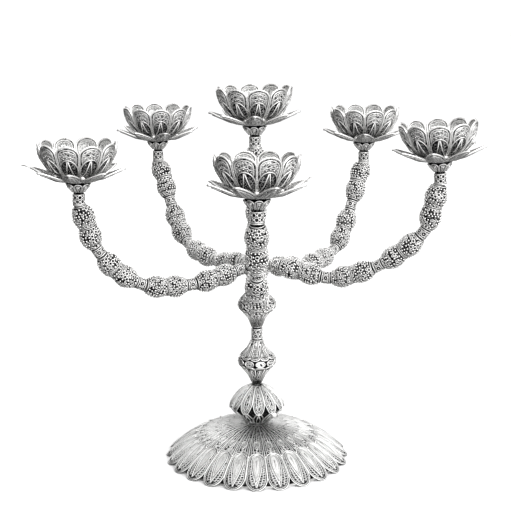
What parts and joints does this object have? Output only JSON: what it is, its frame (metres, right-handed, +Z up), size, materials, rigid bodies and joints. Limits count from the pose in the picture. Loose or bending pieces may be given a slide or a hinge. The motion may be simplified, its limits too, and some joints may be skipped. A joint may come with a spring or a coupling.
{
  "type": "candelabra",
  "caption": "Tabletop candelabra in silver filigree: domed foot, knopped stem, curving beaded arms and lift-off flower candle cups on leafed drip pans.",
  "frame": {"origin": "on the table, on the axis of the centre stem", "axes": "+Z up along the stem; -Y towards the front arm; +X to the right of it"},
  "size_m": [0.3312, 0.3172, 0.2964],
  "materials": {
    "bead": "silver wirework, bright on the raised wire and darkened by tarnish between",
    "calyx": "silver wirework, bright on the raised wire and darkened by tarnish between",
    "pan": "silver wirework, bright on the raised wire and darkened by tarnish between",
    "cup": "silver wirework, bright on the raised wire and darkened by tarnish between",
    "stud": "plain silver, dulled",
    "hub": "silver wirework, bright on the raised wire and darkened by tarnish between",
    "collar": "silver wirework, bright on the raised wire and darkened by tarnish between",
    "cone": "silver wirework, bright on the raised wire and darkened by tarnish between",
    "belt": "silver wirework, bright on the raised wire and darkened by tarnish between",
    "ferrule": "silver wirework, bright on the raised wire and darkened by tarnish between",
    "knop": "silver wirework, bright on the raised wire and darkened by tarnish between",
    "dome": "silver wirework, bright on the raised wire and darkened by tarnish between",
    "plate": "plain silver, dulled",
    "rod": "plain silver, dulled"
  },
  "bodies": {
    "frame": {"base_dome": "dome", "base_plate": "plate", "tie_rod": "rod", "knop_lower": "knop", "knop_upper": "knop", "lower_cone_foot": "cone", "lower_belt": "belt", "lower_cone_top": "cone", "ferrule": "ferrule", "upper_cone_foot": "cone", "upper_belt": "belt", "upper_cone_top": "cone", "hub_collar": "collar", "hub": "hub", "centre_bead_2": "bead", "centre_bead_1": "bead", "arm_front_bead_4": "bead", "arm_front_bead_3": "bead", "arm_front_bead_2": "bead", "arm_front_bead_1": "bead", "arm_left_bead_4": "bead", "arm_left_bead_3": "bead", "arm_left_bead_2": "bead", "arm_left_bead_1": "bead", "arm_back_left_bead_4": "bead", "arm_back_left_bead_3": "bead", "arm_back_left_bead_2": "bead", "arm_back_left_bead_1": "bead", "arm_back_right_bead_4": "bead", "arm_back_right_bead_3": "bead", "arm_back_right_bead_2": "bead", "arm_back_right_bead_1": "bead", "arm_right_bead_4": "bead", "arm_right_bead_3": "bead", "arm_right_bead_2": "bead", "arm_right_bead_1": "bead", "calyx_front": "calyx", "calyx_left": "calyx", "calyx_back_left": "calyx", "calyx_back_right": "calyx", "calyx_right": "calyx", "calyx_centre": "calyx"},
    "flower_front": {"drip_pan_front": "pan", "candle_cup_front": "cup", "stud_front": "stud"},
    "flower_left": {"drip_pan_left": "pan", "candle_cup_left": "cup", "stud_left": "stud"},
    "flower_back_left": {"drip_pan_back_left": "pan", "candle_cup_back_left": "cup", "stud_back_left": "stud"},
    "flower_back_right": {"drip_pan_back_right": "pan", "candle_cup_back_right": "cup", "stud_back_right": "stud"},
    "flower_right": {"drip_pan_right": "pan", "candle_cup_right": "cup", "stud_right": "stud"},
    "flower_centre": {"drip_pan_centre": "pan", "candle_cup_centre": "cup", "stud_centre": "stud"}
  },
  "joints": [
    {"name": "lift_front", "type": "slide", "parent": "frame", "child": "flower_front", "axis": [0, 0.0628, 0.998], "range_m": [0, 0.035]},
    {"name": "lift_left", "type": "slide", "parent": "frame", "child": "flower_left", "axis": [0, 0, 1], "range_m": [0, 0.035]},
    {"name": "lift_back_left", "type": "slide", "parent": "frame", "child": "flower_back_left", "axis": [0, 0, 1], "range_m": [0, 0.035]},
    {"name": "lift_back_right", "type": "slide", "parent": "frame", "child": "flower_back_right", "axis": [0, 0, 1], "range_m": [0, 0.035]},
    {"name": "lift_right", "type": "slide", "parent": "frame", "child": "flower_right", "axis": [-0.0708, 0.0188, 0.9973], "range_m": [0, 0.035]},
    {"name": "lift_centre", "type": "slide", "parent": "frame", "child": "flower_centre", "axis": [-0.0175, 0, 0.9998], "range_m": [0, 0.035]}
  ]
}
